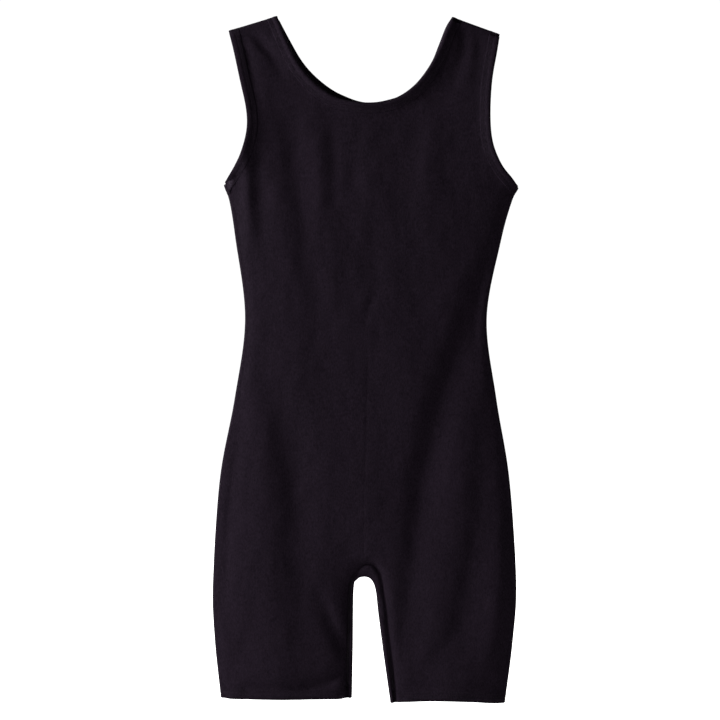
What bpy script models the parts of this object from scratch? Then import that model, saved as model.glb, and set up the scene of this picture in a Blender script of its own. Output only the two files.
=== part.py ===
"""A sleeveless one-piece leotard with short legs, hung by its two shoulder seams.

X runs across the body with +X at the wearer's left, Y runs from the front panel (-Y) to the back
panel (+Y), and Z is up. The origin is the middle of the line where a hanger carries the shoulders.
Lengths in this file are in millimetres, and scaled() turns them into metres.

Every ply follows one surface: half_depth() says how far the cloth stands from the middle plane,
and a ply's offset is counted outwards from the inner face of the body cloth. At each seam the
cloth turns round a small fold, so that the front and back panels meet edge to edge.
"""

import math

import bmesh
import bpy
from mathutils import Vector, geometry

MILLIMETRE = 0.001

# Plies, from the skin outwards.
CLOTH = 1.0
BINDING = 0.8
ELASTIC = 0.8
HEM_PLY = 0.9
THREAD = 0.5
LINING = 0.6
GAP = 0.4
FOLD_RADIUS = 3.2

# Widths of the bands and strips.
BINDING_WIDTH = 9.0
ELASTIC_WIDTH = 6.5
COVERSTITCH_WIDTH = 2.6
BINDING_STITCH_INSET = 5.4
HEM_WIDTH = 12.0
HEM_STITCH_INSET = 7.6
OVERLOCK_WIDTH = 6.0
OVERLOCK_THICKNESS = 1.4
RISE_SEAM_WIDTH = 6.0
RISE_SEAM_THICKNESS = 1.2

# How far the cloth stands from the middle plane beyond the fold radius, at each height.
FULLNESS = [(10, 1), (-20, 5), (-90, 10), (-190, 12), (-338, 9), (-470, 12), (-600, 13), (-780, 10)]
ROLL_OFF = 70.0

# Mesh spacing.
EDGE_STEP = 14.0
SEAM_STEP = 8.0
INNER_STEP = 28.0
LEAN_LENGTH = 40.0
FOLD_ANGLES = [math.radians(angle) for angle in (30, 60)]
SEAM_ANGLE = math.radians(86)

# The finished outline as it hangs, as (x, z).
RIGHT_NECK_POINT = (-101, 10)
RIGHT_SHOULDER_POINT = (-157, -7)
RIGHT_ARMPIT = (-163, -185)
RIGHT_HEM_OUTER = (-166, -773)
RIGHT_HEM_INNER = (-15, -773)
LEFT_HEM_INNER = (29, -779)
LEFT_HEM_OUTER = (161, -779)
LEFT_ARMPIT = (177, -188)
LEFT_SHOULDER_POINT = (155, -11)
LEFT_NECK_POINT = (100, 9)

RIGHT_ARMHOLE = [(-151, -30), (-143, -66), (-136, -98), (-135, -122), (-141, -147), (-150, -165)]
LEFT_ARMHOLE = [(169, -178), (156, -162), (146, -138), (143, -108), (145, -68), (151, -34)]
RIGHT_SIDE = [(-156, -203), (-149, -247), (-138, -338), (-150, -430), (-167, -522), (-175, -640), (-173, -706)]
LEFT_SIDE = [(170, -708), (174, -640), (166, -522), (151, -430), (140, -338), (156, -250), (169, -203)]
CROTCH = [(-14, -720), (-13, -650), (-9, -638), (-1, -635), (7, -638), (12, -650), (15, -676), (21, -722)]
LEFT_HEM_DIP = [(47, -777), (100, -775)]
FRONT_NECK = [(92, -8), (83, -31), (70, -55), (53, -75), (31, -88), (2, -92), (-30, -87), (-54, -72), (-72, -52), (-86, -27)]
BACK_NECK = [(93, -2), (85, -22), (76, -43), (61, -64), (42, -79), (4, -87), (-29, -77), (-53, -61), (-72, -41), (-87, -16)]

FRONT_RISE = [(5, -318), (2, -440), (-1, -560), (-1, -612)]
BACK_RISE = [(0, -330), (0, -440), (-1, -560), (-1, -612)]

FRONT = -1
BACK = 1


def scaled(point):
    return Vector(point) * MILLIMETRE


def flat(points):
    return [Vector(p) for p in points]


def spline_point(a, b, c, d, t):
    """A point between b and c on the Catmull-Rom curve through all four."""
    return 0.5 * (2 * b + (c - a) * t + (2 * a - 5 * b + 4 * c - d) * t**2 + (3 * b - a - 3 * c + d) * t**3)


def evenly(points, step):
    """Points at even distances of about this step along a polyline."""
    along = [0.0]
    for a, b in zip(points, points[1:]):
        along.append(along[-1] + (b - a).length)
    count = max(2, round(along[-1] / step))
    found, i = [], 0
    for k in range(count + 1):
        at = along[-1] * k / count
        while i < len(points) - 2 and along[i + 1] < at:
            i += 1
        found.append(points[i].lerp(points[i + 1], (at - along[i]) / (along[i + 1] - along[i])))
    return found


def curve(*points, step=EDGE_STEP):
    """The smooth curve through these points, cut into steps of about the same length."""
    points = flat(points)
    padded = [2 * points[0] - points[1], *points, 2 * points[-1] - points[-2]]
    fine = [
        spline_point(*padded[i : i + 4], t / 8)
        for i in range(len(points) - 1)
        for t in range(8)
    ] + [points[-1]]
    return evenly(fine, step)


def inward(points, i):
    """The direction into the cloth at point i of an edge that runs anticlockwise round it."""
    along = points[min(i + 1, len(points) - 1)] - points[max(i - 1, 0)]
    return Vector((-along.y, along.x)).normalized()


def outline(neck):
    """The edges of the cloth in order, anticlockwise, each moved in from the finished outline."""
    to_fold, to_binding = FOLD_RADIUS + CLOTH, GAP + BINDING
    edges = {
        "right_shoulder": (curve(RIGHT_NECK_POINT, RIGHT_SHOULDER_POINT), to_fold),
        "right_armhole": (curve(RIGHT_SHOULDER_POINT, *RIGHT_ARMHOLE, RIGHT_ARMPIT), to_binding),
        "right_side": (curve(RIGHT_ARMPIT, *RIGHT_SIDE, RIGHT_HEM_OUTER), to_fold),
        "right_hem": (curve(RIGHT_HEM_OUTER, RIGHT_HEM_INNER), 0),
        "crotch": (curve(RIGHT_HEM_INNER, *CROTCH, LEFT_HEM_INNER, step=SEAM_STEP), to_fold),
        "left_hem": (curve(LEFT_HEM_INNER, *LEFT_HEM_DIP, LEFT_HEM_OUTER), 0),
        "left_side": (curve(LEFT_HEM_OUTER, *LEFT_SIDE, LEFT_ARMPIT), to_fold),
        "left_armhole": (curve(LEFT_ARMPIT, *LEFT_ARMHOLE, LEFT_SHOULDER_POINT), to_binding),
        "left_shoulder": (curve(LEFT_SHOULDER_POINT, LEFT_NECK_POINT), to_fold),
        "neck": (curve(LEFT_NECK_POINT, *neck, RIGHT_NECK_POINT), to_binding),
    }
    moved = {
        name: [p + inward(points, i) * inset for i, p in enumerate(points)]
        for name, (points, inset) in edges.items()
    }
    names = list(edges)
    for before, after in zip(names, names[1:] + names[:1]):
        (a, a_inset), (b, b_inset) = edges[before], edges[after]
        corner = b[0] + inward(a, len(a) - 1) * a_inset + inward(b, 0) * b_inset
        moved[before][-1] = moved[after][0] = corner
    return moved


PANELS = {FRONT: outline(FRONT_NECK), BACK: outline(BACK_NECK)}
SEAMS = ["right_shoulder", "right_side", "crotch", "left_side", "left_shoulder"]
SEAM_PIECES = [
    piece for name in SEAMS for piece in zip(PANELS[FRONT][name], PANELS[FRONT][name][1:])
]


def stepped(table, z):
    """A value read from (height, value) rows in falling order of height, with smooth steps between them."""
    for (z0, v0), (z1, v1) in zip(table, table[1:]):
        if z >= z1:
            t = min(1, max(0, (z0 - z) / (z0 - z1)))
            return v0 + (v1 - v0) * t * t * (3 - 2 * t)
    return table[-1][1]


def half_depth(p):
    """How far the inner face of the body cloth stands from the middle plane."""
    nearest = ROLL_OFF
    for a, b in SEAM_PIECES:
        if min(abs(a.x - p.x), abs(a.y - p.y)) < ROLL_OFF + EDGE_STEP:
            t = max(0, min(1, (p - a).dot(b - a) / (b - a).length_squared))
            nearest = min(nearest, (a.lerp(b, t) - p).length)
    return FOLD_RADIUS + stepped(FULLNESS, p.y) * math.sin(math.pi / 2 * nearest / ROLL_OFF)


class Spot:
    """A place on the body surface: in the plane, or part of the way round the fold at a seam."""

    def __init__(self, side, point, across=None, out=None, angle=0.0):
        self.side, self.point, self.across, self.out, self.angle = side, point, across, out, angle

    def at(self, offset, width=0.0):
        """The point this far out from the inner face of the cloth, and this far across the band."""
        p = self.point + self.across * width if self.across else self.point
        if not self.angle:
            return scaled((p.x, self.side * (half_depth(p) + offset), p.y))
        radius = half_depth(self.point) + offset
        p = p + self.out * math.sin(self.angle) * radius
        return scaled((p.x, self.side * math.cos(self.angle) * radius, p.y))


def add_material(obj, name, colour, roughness):
    found = bpy.data.materials.get(name)
    if not found:
        found = bpy.data.materials.new(name)
        found.use_nodes = True
        shader = found.node_tree.nodes["Principled BSDF"]
        shader.inputs["Base Color"].default_value = (*colour, 1)
        shader.inputs["Roughness"].default_value = roughness
        shader.inputs["Metallic"].default_value = 0.0
    obj.data.materials.append(found)


KNIT = ("black_knit", (0.011, 0.008, 0.012), 0.85)
RIB = ("black_binding", (0.013, 0.010, 0.014), 0.8)
RUBBER_TAPE = ("black_elastic", (0.016, 0.015, 0.017), 0.65)
YARN = ("black_thread", (0.02, 0.018, 0.022), 0.55)
COTTON = ("black_cotton_lining", (0.014, 0.013, 0.014), 0.95)
SATIN = ("white_label_tape", (0.75, 0.75, 0.73), 0.5)


def add_object(name, bm, material):
    bmesh.ops.recalc_face_normals(bm, faces=bm.faces)
    mesh = bpy.data.meshes.new(name)
    bm.to_mesh(mesh)
    bm.free()
    obj = bpy.data.objects.new(name, mesh)
    bpy.context.scene.collection.objects.link(obj)
    add_material(obj, *material)
    mesh.shade_smooth()
    mesh.set_sharp_from_angle(angle=math.radians(40))
    return obj


def loft(name, sections, material, closed):
    """A solid through cross-sections with the same number of corners each."""
    bm = bmesh.new()
    rings = [[bm.verts.new(p) for p in section] for section in sections]
    pairs = list(zip(rings, rings[1:]))
    if closed:
        pairs.append((rings[-1], rings[0]))
    for a, b in pairs:
        for i in range(len(a)):
            j = (i + 1) % len(a)
            bm.faces.new((a[i], a[j], b[j], b[i]))
    if not closed:
        bm.faces.new(rings[0])
        bm.faces.new(rings[-1])
    return add_object(name, bm, material)


def rectangle(width_from, width_to, offset_from, offset_to):
    return [
        (width_from, offset_from), (width_to, offset_from), (width_to, offset_to), (width_from, offset_to)
    ]


def inner_points(border, taken):
    """Points of a staggered grid that lie inside the border and clear of the points taken."""
    found, row = [], 0
    z = min(p.y for p in border)
    while z < max(p.y for p in border):
        x = min(p.x for p in border) + (row % 2) * INNER_STEP / 2
        while x < max(p.x for p in border):
            p = Vector((x, z))
            clear = all((p - q).length > 0.55 * INNER_STEP for q in taken)
            if clear and is_inside(p, border):
                found.append(p)
            x += INNER_STEP
        z += INNER_STEP * 0.87
        row += 1
    return found


def is_inside(p, border):
    crossings = 0
    for a, b in zip(border, border[1:] + border[:1]):
        if (a.y > p.y) != (b.y > p.y) and p.x < a.x + (b.x - a.x) * (p.y - a.y) / (b.y - a.y):
            crossings += 1
    return crossings % 2 == 1


def make_panel(name, side):
    """One body panel: a sheet inside the outline, with its seam edges turned round the fold."""
    edges = PANELS[side]
    border = [p for points in edges.values() for p in points[:-1]]
    points = border + band_rows(side)
    points += inner_points(border, points)
    ring = list(range(len(border)))
    filled = geometry.delaunay_2d_cdt(points, [], [ring], 1, 1e-4)
    spots = [Spot(side, p) for p in filled[0]]
    faces = [list(face) for face in filled[2]]
    place = {(round(p.x, 3), round(p.y, 3)): i for i, p in enumerate(filled[0])}
    for name_of_seam in SEAMS:
        points = edges[name_of_seam]
        rows = [[place[round(p.x, 3), round(p.y, 3)] for p in points]]
        for angle in [*FOLD_ANGLES, SEAM_ANGLE]:
            rows.append(list(range(len(spots), len(spots) + len(points))))
            spots += [Spot(side, p, out=-inward(points, i), angle=angle) for i, p in enumerate(points)]
        for near, far in zip(rows, rows[1:]):
            for i in range(len(points) - 1):
                faces.append([near[i + 1], near[i], far[i], far[i + 1]])
    bm = bmesh.new()
    number = bm.verts.layers.int.new("number")
    verts = []
    for i, spot in enumerate(spots):
        verts.append(bm.verts.new(spot.at(0)))
        verts[-1][number] = i
    for face in faces:
        bm.faces.new([verts[i] for i in face])
    bmesh.ops.recalc_face_normals(bm, faces=bm.faces)
    made = bmesh.ops.extrude_face_region(bm, geom=bm.faces[:])
    for vert in made["geom"]:
        if isinstance(vert, bmesh.types.BMVert):
            vert.co = spots[vert[number]].at(CLOTH)
    return add_object(name, bm, KNIT)


def edge_spots(side, edge, start_across, end_across):
    """Spots along an open edge. Near each end the band leans to the direction of the seam there."""
    points = PANELS[side][edge]
    spots = []
    for i, p in enumerate(points):
        to_start, to_end = (p - points[0]).length, (p - points[-1]).length
        across = inward(points, i)
        across = start_across.lerp(across, min(1, to_start / LEAN_LENGTH))
        across = end_across.lerp(across, min(1, to_end / LEAN_LENGTH))
        spots.append(Spot(side, p, across.normalized()))
    return spots


def along_seam(seam, at_start):
    """(direction along a seam from one end into the cloth, direction out of the cloth there)"""
    points = PANELS[FRONT][seam]
    if at_start:
        return (points[1] - points[0]).normalized(), -inward(points, 0)
    return (points[-2] - points[-1]).normalized(), -inward(points, len(points) - 1)


def ring_spots(edge):
    """Spots right round an opening: along the front edge, round one fold, and back along the rear edge."""
    seam_before, seam_after, _ = OPEN_EDGES[edge]
    start_across, start_out = along_seam(seam_before, at_start=False)
    end_across, end_out = along_seam(seam_after, at_start=True)
    front = edge_spots(FRONT, edge, start_across, end_across)
    back = edge_spots(BACK, edge, start_across, end_across)
    turns = []
    for spots, across, out in ((front, end_across, end_out), (front[::-1], start_across, start_out)):
        corner = spots[-1].point
        turn = [Spot(FRONT, corner, across, out, angle) for angle in [*FOLD_ANGLES, math.pi / 2]]
        turn += [Spot(BACK, corner, across, out, angle) for angle in FOLD_ANGLES[::-1]]
        turns.append(turn)
    return front + turns[0] + back[::-1] + turns[1][::-1]


OPEN_EDGES = {
    "neck": ("left_shoulder", "right_shoulder", BINDING_WIDTH),
    "right_armhole": ("right_shoulder", "right_side", BINDING_WIDTH),
    "left_armhole": ("left_side", "left_shoulder", BINDING_WIDTH),
    "right_hem": ("right_side", "crotch", HEM_WIDTH),
    "left_hem": ("crotch", "left_side", HEM_WIDTH),
}


def band_rows(side):
    """The points of a panel under the inner edge of each band, so that the band lies flat on it."""
    rows = []
    for edge, (seam_before, seam_after, width) in OPEN_EDGES.items():
        start_across, end_across = along_seam(seam_before, False)[0], along_seam(seam_after, True)[0]
        rows += [s.point + s.across * width for s in edge_spots(side, edge, start_across, end_across)[1:-1]]
    return rows


def make_band(name, spots, profile, material):
    """A ring round an opening, with a profile of (width, offset) corners."""
    return loft(name, [[spot.at(offset, width) for width, offset in profile] for spot in spots], material, True)


def make_binding(name, spots):
    """A strip of body cloth folded over the edge, which holds the panel's edge and the elastic."""
    outer, inner = CLOTH + GAP, -(3 * GAP + ELASTIC)
    profile = [
        (BINDING_WIDTH, outer), (BINDING_WIDTH, outer + BINDING),
        (-GAP - BINDING, outer + BINDING), (-GAP - BINDING, inner - BINDING),
        (BINDING_WIDTH, inner - BINDING), (BINDING_WIDTH, inner), (-GAP, inner), (-GAP, outer),
    ]
    return make_band(name, spots, profile, RIB)


def make_seam_strip(name, seam, from_start, from_end):
    """An overlocked seam allowance: it stands in the fold between the two panels."""
    points = PANELS[FRONT][seam]
    half = OVERLOCK_THICKNESS / 2
    reach_out = FOLD_RADIUS - 0.8
    reach_in = reach_out - OVERLOCK_WIDTH
    sections = []
    for i, p in enumerate(points):
        if (p - points[0]).length < from_start or (p - points[-1]).length < from_end:
            continue
        out = -inward(points, i)
        corners = [(reach_out, -half), (reach_out, half), (reach_in, half), (reach_in, -half)]
        sections.append([scaled(((p + out * u).x, y, (p + out * u).y)) for u, y in corners])
    return loft(name, sections, YARN, False)


def make_rise_seam(name, side, route):
    """The overlocked seam on the inner face of a panel, from the waist down to the crotch."""
    inner = -GAP - 0.4
    profile = rectangle(-RISE_SEAM_WIDTH / 2, RISE_SEAM_WIDTH / 2, inner - RISE_SEAM_THICKNESS, inner)
    spots = [Spot(side, p, Vector((1, 0))) for p in curve(*route, step=15)]
    return loft(name, [[s.at(offset, width) for width, offset in profile] for s in spots], YARN, False)


def make_crotch_lining():
    """A shield of cotton inside the crotch, up the front and up the back, joined under the rise."""
    across, down = Vector((1, 0)), Vector((0, -1))
    turn_z, top_z, rows = -622, -545, 6
    inner = -GAP - 0.4 - RISE_SEAM_THICKNESS - 0.4
    heights = [top_z + (turn_z - top_z) * k / rows for k in range(rows + 1)]
    spots = [Spot(FRONT, Vector((-1, z)), across) for z in heights]
    spots += [Spot(FRONT, Vector((-1, turn_z)), across, down, angle) for angle in (*FOLD_ANGLES, math.pi / 2)]
    spots += [Spot(BACK, Vector((-1, turn_z)), across, down, angle) for angle in FOLD_ANGLES[::-1]]
    spots += [Spot(BACK, Vector((-1, z)), across) for z in heights[::-1]]
    sections = []
    for spot in spots:
        half_width = 22 + 14 * ((spot.point.y - turn_z) / (top_z - turn_z)) ** 2
        profile = [(-half_width, inner - LINING), (0, inner - LINING), (half_width, inner - LINING)]
        profile += [(half_width, inner), (0, inner), (-half_width, inner)]
        sections.append([spot.at(offset, width) for width, offset in profile])
    return loft("crotch_lining", sections, COTTON, False)


def make_care_label():
    """A blank folded tape that hangs into the body from the left side seam."""
    label_width, label_height, tape = 30, 42, 0.5
    seam_x, centre_z = 134, -392
    bm = bmesh.new()
    bmesh.ops.create_cube(bm, size=1)
    size = scaled((label_width, tape, label_height))
    centre = scaled((seam_x - label_width / 2, 0, centre_z))
    bmesh.ops.scale(bm, vec=size, verts=bm.verts)
    bmesh.ops.translate(bm, vec=centre, verts=bm.verts)
    return add_object("care_label", bm, SATIN)


def build():
    for old in list(bpy.data.objects):
        bpy.data.objects.remove(old, do_unlink=True)

    make_panel("front_panel", FRONT)
    make_panel("back_panel", BACK)

    elastic = rectangle(0.4, ELASTIC_WIDTH, -GAP - ELASTIC, -GAP)
    on_binding = CLOTH + 2 * GAP + BINDING
    binding_stitch = rectangle(
        BINDING_STITCH_INSET, BINDING_STITCH_INSET + COVERSTITCH_WIDTH, on_binding, on_binding + THREAD
    )
    for opening in ("neck", "right_armhole", "left_armhole"):
        spots = ring_spots(opening)
        make_binding(f"{opening}_binding", spots)
        make_band(f"{opening}_elastic", spots, elastic, RUBBER_TAPE)
        make_band(f"{opening}_coverstitch", spots, binding_stitch, YARN)

    hem_ply = rectangle(0.4, HEM_WIDTH, -GAP - HEM_PLY, -GAP)
    on_cloth = CLOTH + GAP
    hem_stitch = rectangle(HEM_STITCH_INSET, HEM_STITCH_INSET + COVERSTITCH_WIDTH, on_cloth, on_cloth + THREAD)
    for leg in ("right", "left"):
        spots = ring_spots(f"{leg}_hem")
        make_band(f"{leg}_leg_hem", spots, hem_ply, KNIT)
        make_band(f"{leg}_leg_coverstitch", spots, hem_stitch, YARN)

    clear_of_binding, clear_of_hem = BINDING_WIDTH + 4, HEM_WIDTH + 3
    make_seam_strip("right_shoulder_seam", "right_shoulder", clear_of_binding - 2, clear_of_binding - 2)
    make_seam_strip("left_shoulder_seam", "left_shoulder", clear_of_binding - 2, clear_of_binding - 2)
    make_seam_strip("right_side_seam", "right_side", clear_of_binding, clear_of_hem)
    make_seam_strip("left_side_seam", "left_side", clear_of_hem, clear_of_binding)
    make_seam_strip("inseam", "crotch", clear_of_hem, clear_of_hem)
    make_rise_seam("front_rise_seam", FRONT, FRONT_RISE)
    make_rise_seam("back_rise_seam", BACK, BACK_RISE)
    make_crotch_lining()
    make_care_label()


build()
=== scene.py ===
# %% [markdown]
# # A black leotard with short legs, hung by its shoulders
# This notebook dresses a plain model of a garment. The plain model already fixes the size, the outline and
# the place of every piece. Here each piece is made again as cloth: a knitted front and back with folds, a
# puffed binding round each opening, twin rows of stitches, and the overlocked seams that show inside.

# %% Load the frame
import math

import bmesh
import bpy
import numpy as np
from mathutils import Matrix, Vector, geometry


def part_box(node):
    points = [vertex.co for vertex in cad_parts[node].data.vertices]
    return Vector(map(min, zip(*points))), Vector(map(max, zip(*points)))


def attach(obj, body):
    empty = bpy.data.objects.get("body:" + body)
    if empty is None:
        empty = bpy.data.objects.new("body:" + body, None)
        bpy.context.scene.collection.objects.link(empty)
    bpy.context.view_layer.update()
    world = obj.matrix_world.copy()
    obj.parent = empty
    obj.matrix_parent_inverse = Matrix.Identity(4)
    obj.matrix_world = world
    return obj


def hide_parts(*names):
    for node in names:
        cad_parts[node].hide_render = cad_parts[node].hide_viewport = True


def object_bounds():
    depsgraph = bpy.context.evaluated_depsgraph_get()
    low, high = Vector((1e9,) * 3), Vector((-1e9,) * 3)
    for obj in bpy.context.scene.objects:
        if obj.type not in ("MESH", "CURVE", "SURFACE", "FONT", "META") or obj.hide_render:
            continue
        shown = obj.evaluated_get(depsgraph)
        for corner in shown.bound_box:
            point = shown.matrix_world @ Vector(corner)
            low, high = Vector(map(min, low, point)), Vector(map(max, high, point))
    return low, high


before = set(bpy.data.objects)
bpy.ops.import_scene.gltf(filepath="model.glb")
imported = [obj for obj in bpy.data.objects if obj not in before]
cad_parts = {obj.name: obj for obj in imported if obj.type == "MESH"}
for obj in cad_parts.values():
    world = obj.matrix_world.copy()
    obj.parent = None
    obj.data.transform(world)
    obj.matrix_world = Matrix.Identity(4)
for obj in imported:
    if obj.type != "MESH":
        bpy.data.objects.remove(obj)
cad_low, cad_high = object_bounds()
print("plain model, metres:", list(cad_low), list(cad_high))

# %% [markdown]
# ## The paper pattern
# A garment starts as a flat pattern. Working on that pattern in two dimensions, x across and z up, keeps
# everything simple: a fold, a seam or a stitch row is a line on paper, and one function later lifts any
# pattern point to its place on the body. Only a few points are given for each edge, and a smooth curve runs
# through them. Lengths are in millimetres, since that is how a pattern cutter works.

# %% The edges of the pattern
MM = 0.001
FRONT, BACK = -1, 1

RIGHT_NECK_POINT, RIGHT_SHOULDER_POINT = (-101, 10), (-157, -7)
LEFT_NECK_POINT, LEFT_SHOULDER_POINT = (100, 9), (155, -11)
RIGHT_ARMPIT, LEFT_ARMPIT = (-163, -185), (177, -188)
RIGHT_HEM_OUTER, RIGHT_HEM_INNER = (-166, -773), (-15, -773)
LEFT_HEM_INNER, LEFT_HEM_OUTER = (29, -779), (161, -779)

RIGHT_ARMHOLE = [(-151, -30), (-143, -66), (-136, -98), (-135, -122), (-141, -147), (-150, -165)]
LEFT_ARMHOLE = [(169, -178), (156, -162), (146, -138), (143, -108), (145, -68), (151, -34)]
RIGHT_SIDE = [
    (-156, -203), (-149, -247), (-138, -338), (-150, -430), (-167, -522), (-175, -640), (-173, -706)
]
LEFT_SIDE = [(170, -708), (174, -640), (166, -522), (151, -430), (140, -338), (156, -250), (169, -203)]
CROTCH = [(-14, -720), (-13, -650), (-9, -638), (-1, -635), (7, -638), (12, -650), (15, -676), (21, -722)]
LEFT_HEM_DIP = [(47, -777), (100, -775)]
FRONT_NECK = [
    (92, -8), (83, -31), (70, -55), (53, -75), (31, -88),
    (2, -92), (-30, -87), (-54, -72), (-72, -52), (-86, -27),
]
BACK_NECK = [
    (93, -2), (85, -22), (76, -43), (61, -64), (42, -79),
    (4, -87), (-29, -77), (-53, -61), (-72, -41), (-87, -16),
]

CLOTH = 1.0
SEAM_RADIUS = 3.2
BINDING_WRAP = 1.2


def smooth_curve(*points):
    """Dense points on the curve that runs through these points."""
    p = np.array(points, float)
    p = np.vstack([2 * p[0] - p[1], p, 2 * p[-1] - p[-2]])
    t = np.linspace(0, 1, 12, endpoint=False)[:, None]
    runs = [
        0.5 * (2 * b + (c - a) * t + (2 * a - 5 * b + 4 * c - d) * t**2 + (3 * b - a - 3 * c + d) * t**3)
        for a, b, c, d in zip(p, p[1:], p[2:], p[3:])
    ]
    return np.vstack([*runs, p[-2:-1]])


def lengths_along(line):
    """How far along a line each of its points is."""
    return np.concatenate([[0], np.cumsum(np.linalg.norm(np.diff(line, axis=0), axis=1))])


def interpolate(values, own, wanted):
    """Rows of values, known at some lengths along a line, worked out for the wanted lengths."""
    return np.stack([np.interp(wanted, own, values[:, k]) for k in range(values.shape[1])], axis=1)


def inward(line):
    """The direction into the cloth along an edge that runs anticlockwise round it."""
    along = np.gradient(line, axis=0)
    across = np.stack([-along[:, 1], along[:, 0]], axis=1)
    return across / np.linalg.norm(across, axis=1, keepdims=True)


def pattern(neck):
    """Every edge of the cloth, anticlockwise, moved in from the finished outline."""
    to_fold = SEAM_RADIUS + CLOTH
    edges = {
        "right_shoulder": ((RIGHT_NECK_POINT, RIGHT_SHOULDER_POINT), to_fold),
        "right_armhole": ((RIGHT_SHOULDER_POINT, *RIGHT_ARMHOLE, RIGHT_ARMPIT), BINDING_WRAP),
        "right_side": ((RIGHT_ARMPIT, *RIGHT_SIDE, RIGHT_HEM_OUTER), to_fold),
        "right_hem": ((RIGHT_HEM_OUTER, RIGHT_HEM_INNER), 0),
        "crotch": ((RIGHT_HEM_INNER, *CROTCH, LEFT_HEM_INNER), to_fold),
        "left_hem": ((LEFT_HEM_INNER, *LEFT_HEM_DIP, LEFT_HEM_OUTER), 0),
        "left_side": ((LEFT_HEM_OUTER, *LEFT_SIDE, LEFT_ARMPIT), to_fold),
        "left_armhole": ((LEFT_ARMPIT, *LEFT_ARMHOLE, LEFT_SHOULDER_POINT), BINDING_WRAP),
        "left_shoulder": ((LEFT_SHOULDER_POINT, LEFT_NECK_POINT), to_fold),
        "neck": ((LEFT_NECK_POINT, *neck, RIGHT_NECK_POINT), BINDING_WRAP),
    }
    lines = {name: smooth_curve(*points) for name, (points, inset) in edges.items()}
    moved = {name: lines[name] + inward(lines[name]) * inset for name, (points, inset) in edges.items()}
    names = list(edges)
    for before, after in zip(names, names[1:] + names[:1]):
        corner = lines[after][0] + inward(lines[before])[-1] * edges[before][1]
        corner = corner + inward(lines[after])[0] * edges[after][1]
        moved[before][-1] = moved[after][0] = corner
    return moved


PATTERN = {FRONT: pattern(FRONT_NECK), BACK: pattern(BACK_NECK)}
SEAMS = ["right_shoulder", "right_side", "crotch", "left_side", "left_shoulder"]
SEAM_LINES = [PATTERN[FRONT][name][::4] for name in SEAMS]
print("edges of the pattern:", ", ".join(PATTERN[FRONT]))

# %% [markdown]
# ## From paper to body
# Laid flat, a hung garment is thin at its seams and fullest half way between them. One function gives that
# depth from the distance to the nearest seam. The front and back mirror each other, and at a seam the cloth
# turns round a small radius, so the two sides meet edge to edge with a soft rounded rim and not a knife edge.

# %% How far the cloth stands from the middle plane
FULLNESS_HEIGHTS = [-780, -600, -470, -338, -190, -90, -20, 10]
FULLNESS = [6.5, 8.5, 8, 6, 8, 6.5, 3.5, 1]
ROLL_OFF = 70.0
SHOULDER_OF_SEAM, SEAM_ROUNDING = 4.4, 6.0
FULL_ENOUGH = 6.0


def nearest_on(points, line):
    """For each point: its distance to a line, how far along from 0 to 1, and if it is left of the line."""
    a, step = line[:-1], np.diff(line, axis=0)
    best, where = np.full(len(points), np.inf), np.zeros(len(points))
    left = np.zeros(len(points), bool)
    for k in range(len(a)):
        off = points - a[k]
        t = np.clip(off @ step[k] / max(step[k] @ step[k], 1e-9), 0, 1)
        distance = np.linalg.norm(off - t[:, None] * step[k], axis=1)
        closer = distance < best
        best[closer], where[closer] = distance[closer], (k + t[closer]) / len(a)
        left[closer] = (step[k][0] * off[closer, 1] - step[k][1] * off[closer, 0]) > 0
    return best, where, left


def to_seam(points):
    return np.min([nearest_on(points, line)[0] for line in SEAM_LINES], axis=0)


def eased(t):
    t = np.clip(t, 0, 1)
    return t * t * (3 - 2 * t)


def fullness(z):
    """The fullness at a height, with a smooth step between the heights given."""
    place = np.interp(z, FULLNESS_HEIGHTS, np.arange(len(FULLNESS_HEIGHTS)))
    low = np.clip(np.floor(place).astype(int), 0, len(FULLNESS) - 2)
    values = np.array(FULLNESS, float)
    return values[low] + (values[low + 1] - values[low]) * eased(place - low)


def half_depth(points, seam_distance):
    """A broad swell between the seams, and a small quick rise where the cloth leaves each seam."""
    swell = np.sin(math.pi / 2 * np.minimum(seam_distance, ROLL_OFF) / ROLL_OFF)
    full = fullness(points[:, 1])
    rise = SHOULDER_OF_SEAM * (1 - np.exp(-seam_distance / SEAM_ROUNDING)) * np.minimum(1, full / FULL_ENOUGH)
    return SEAM_RADIUS + full * swell + rise
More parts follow.
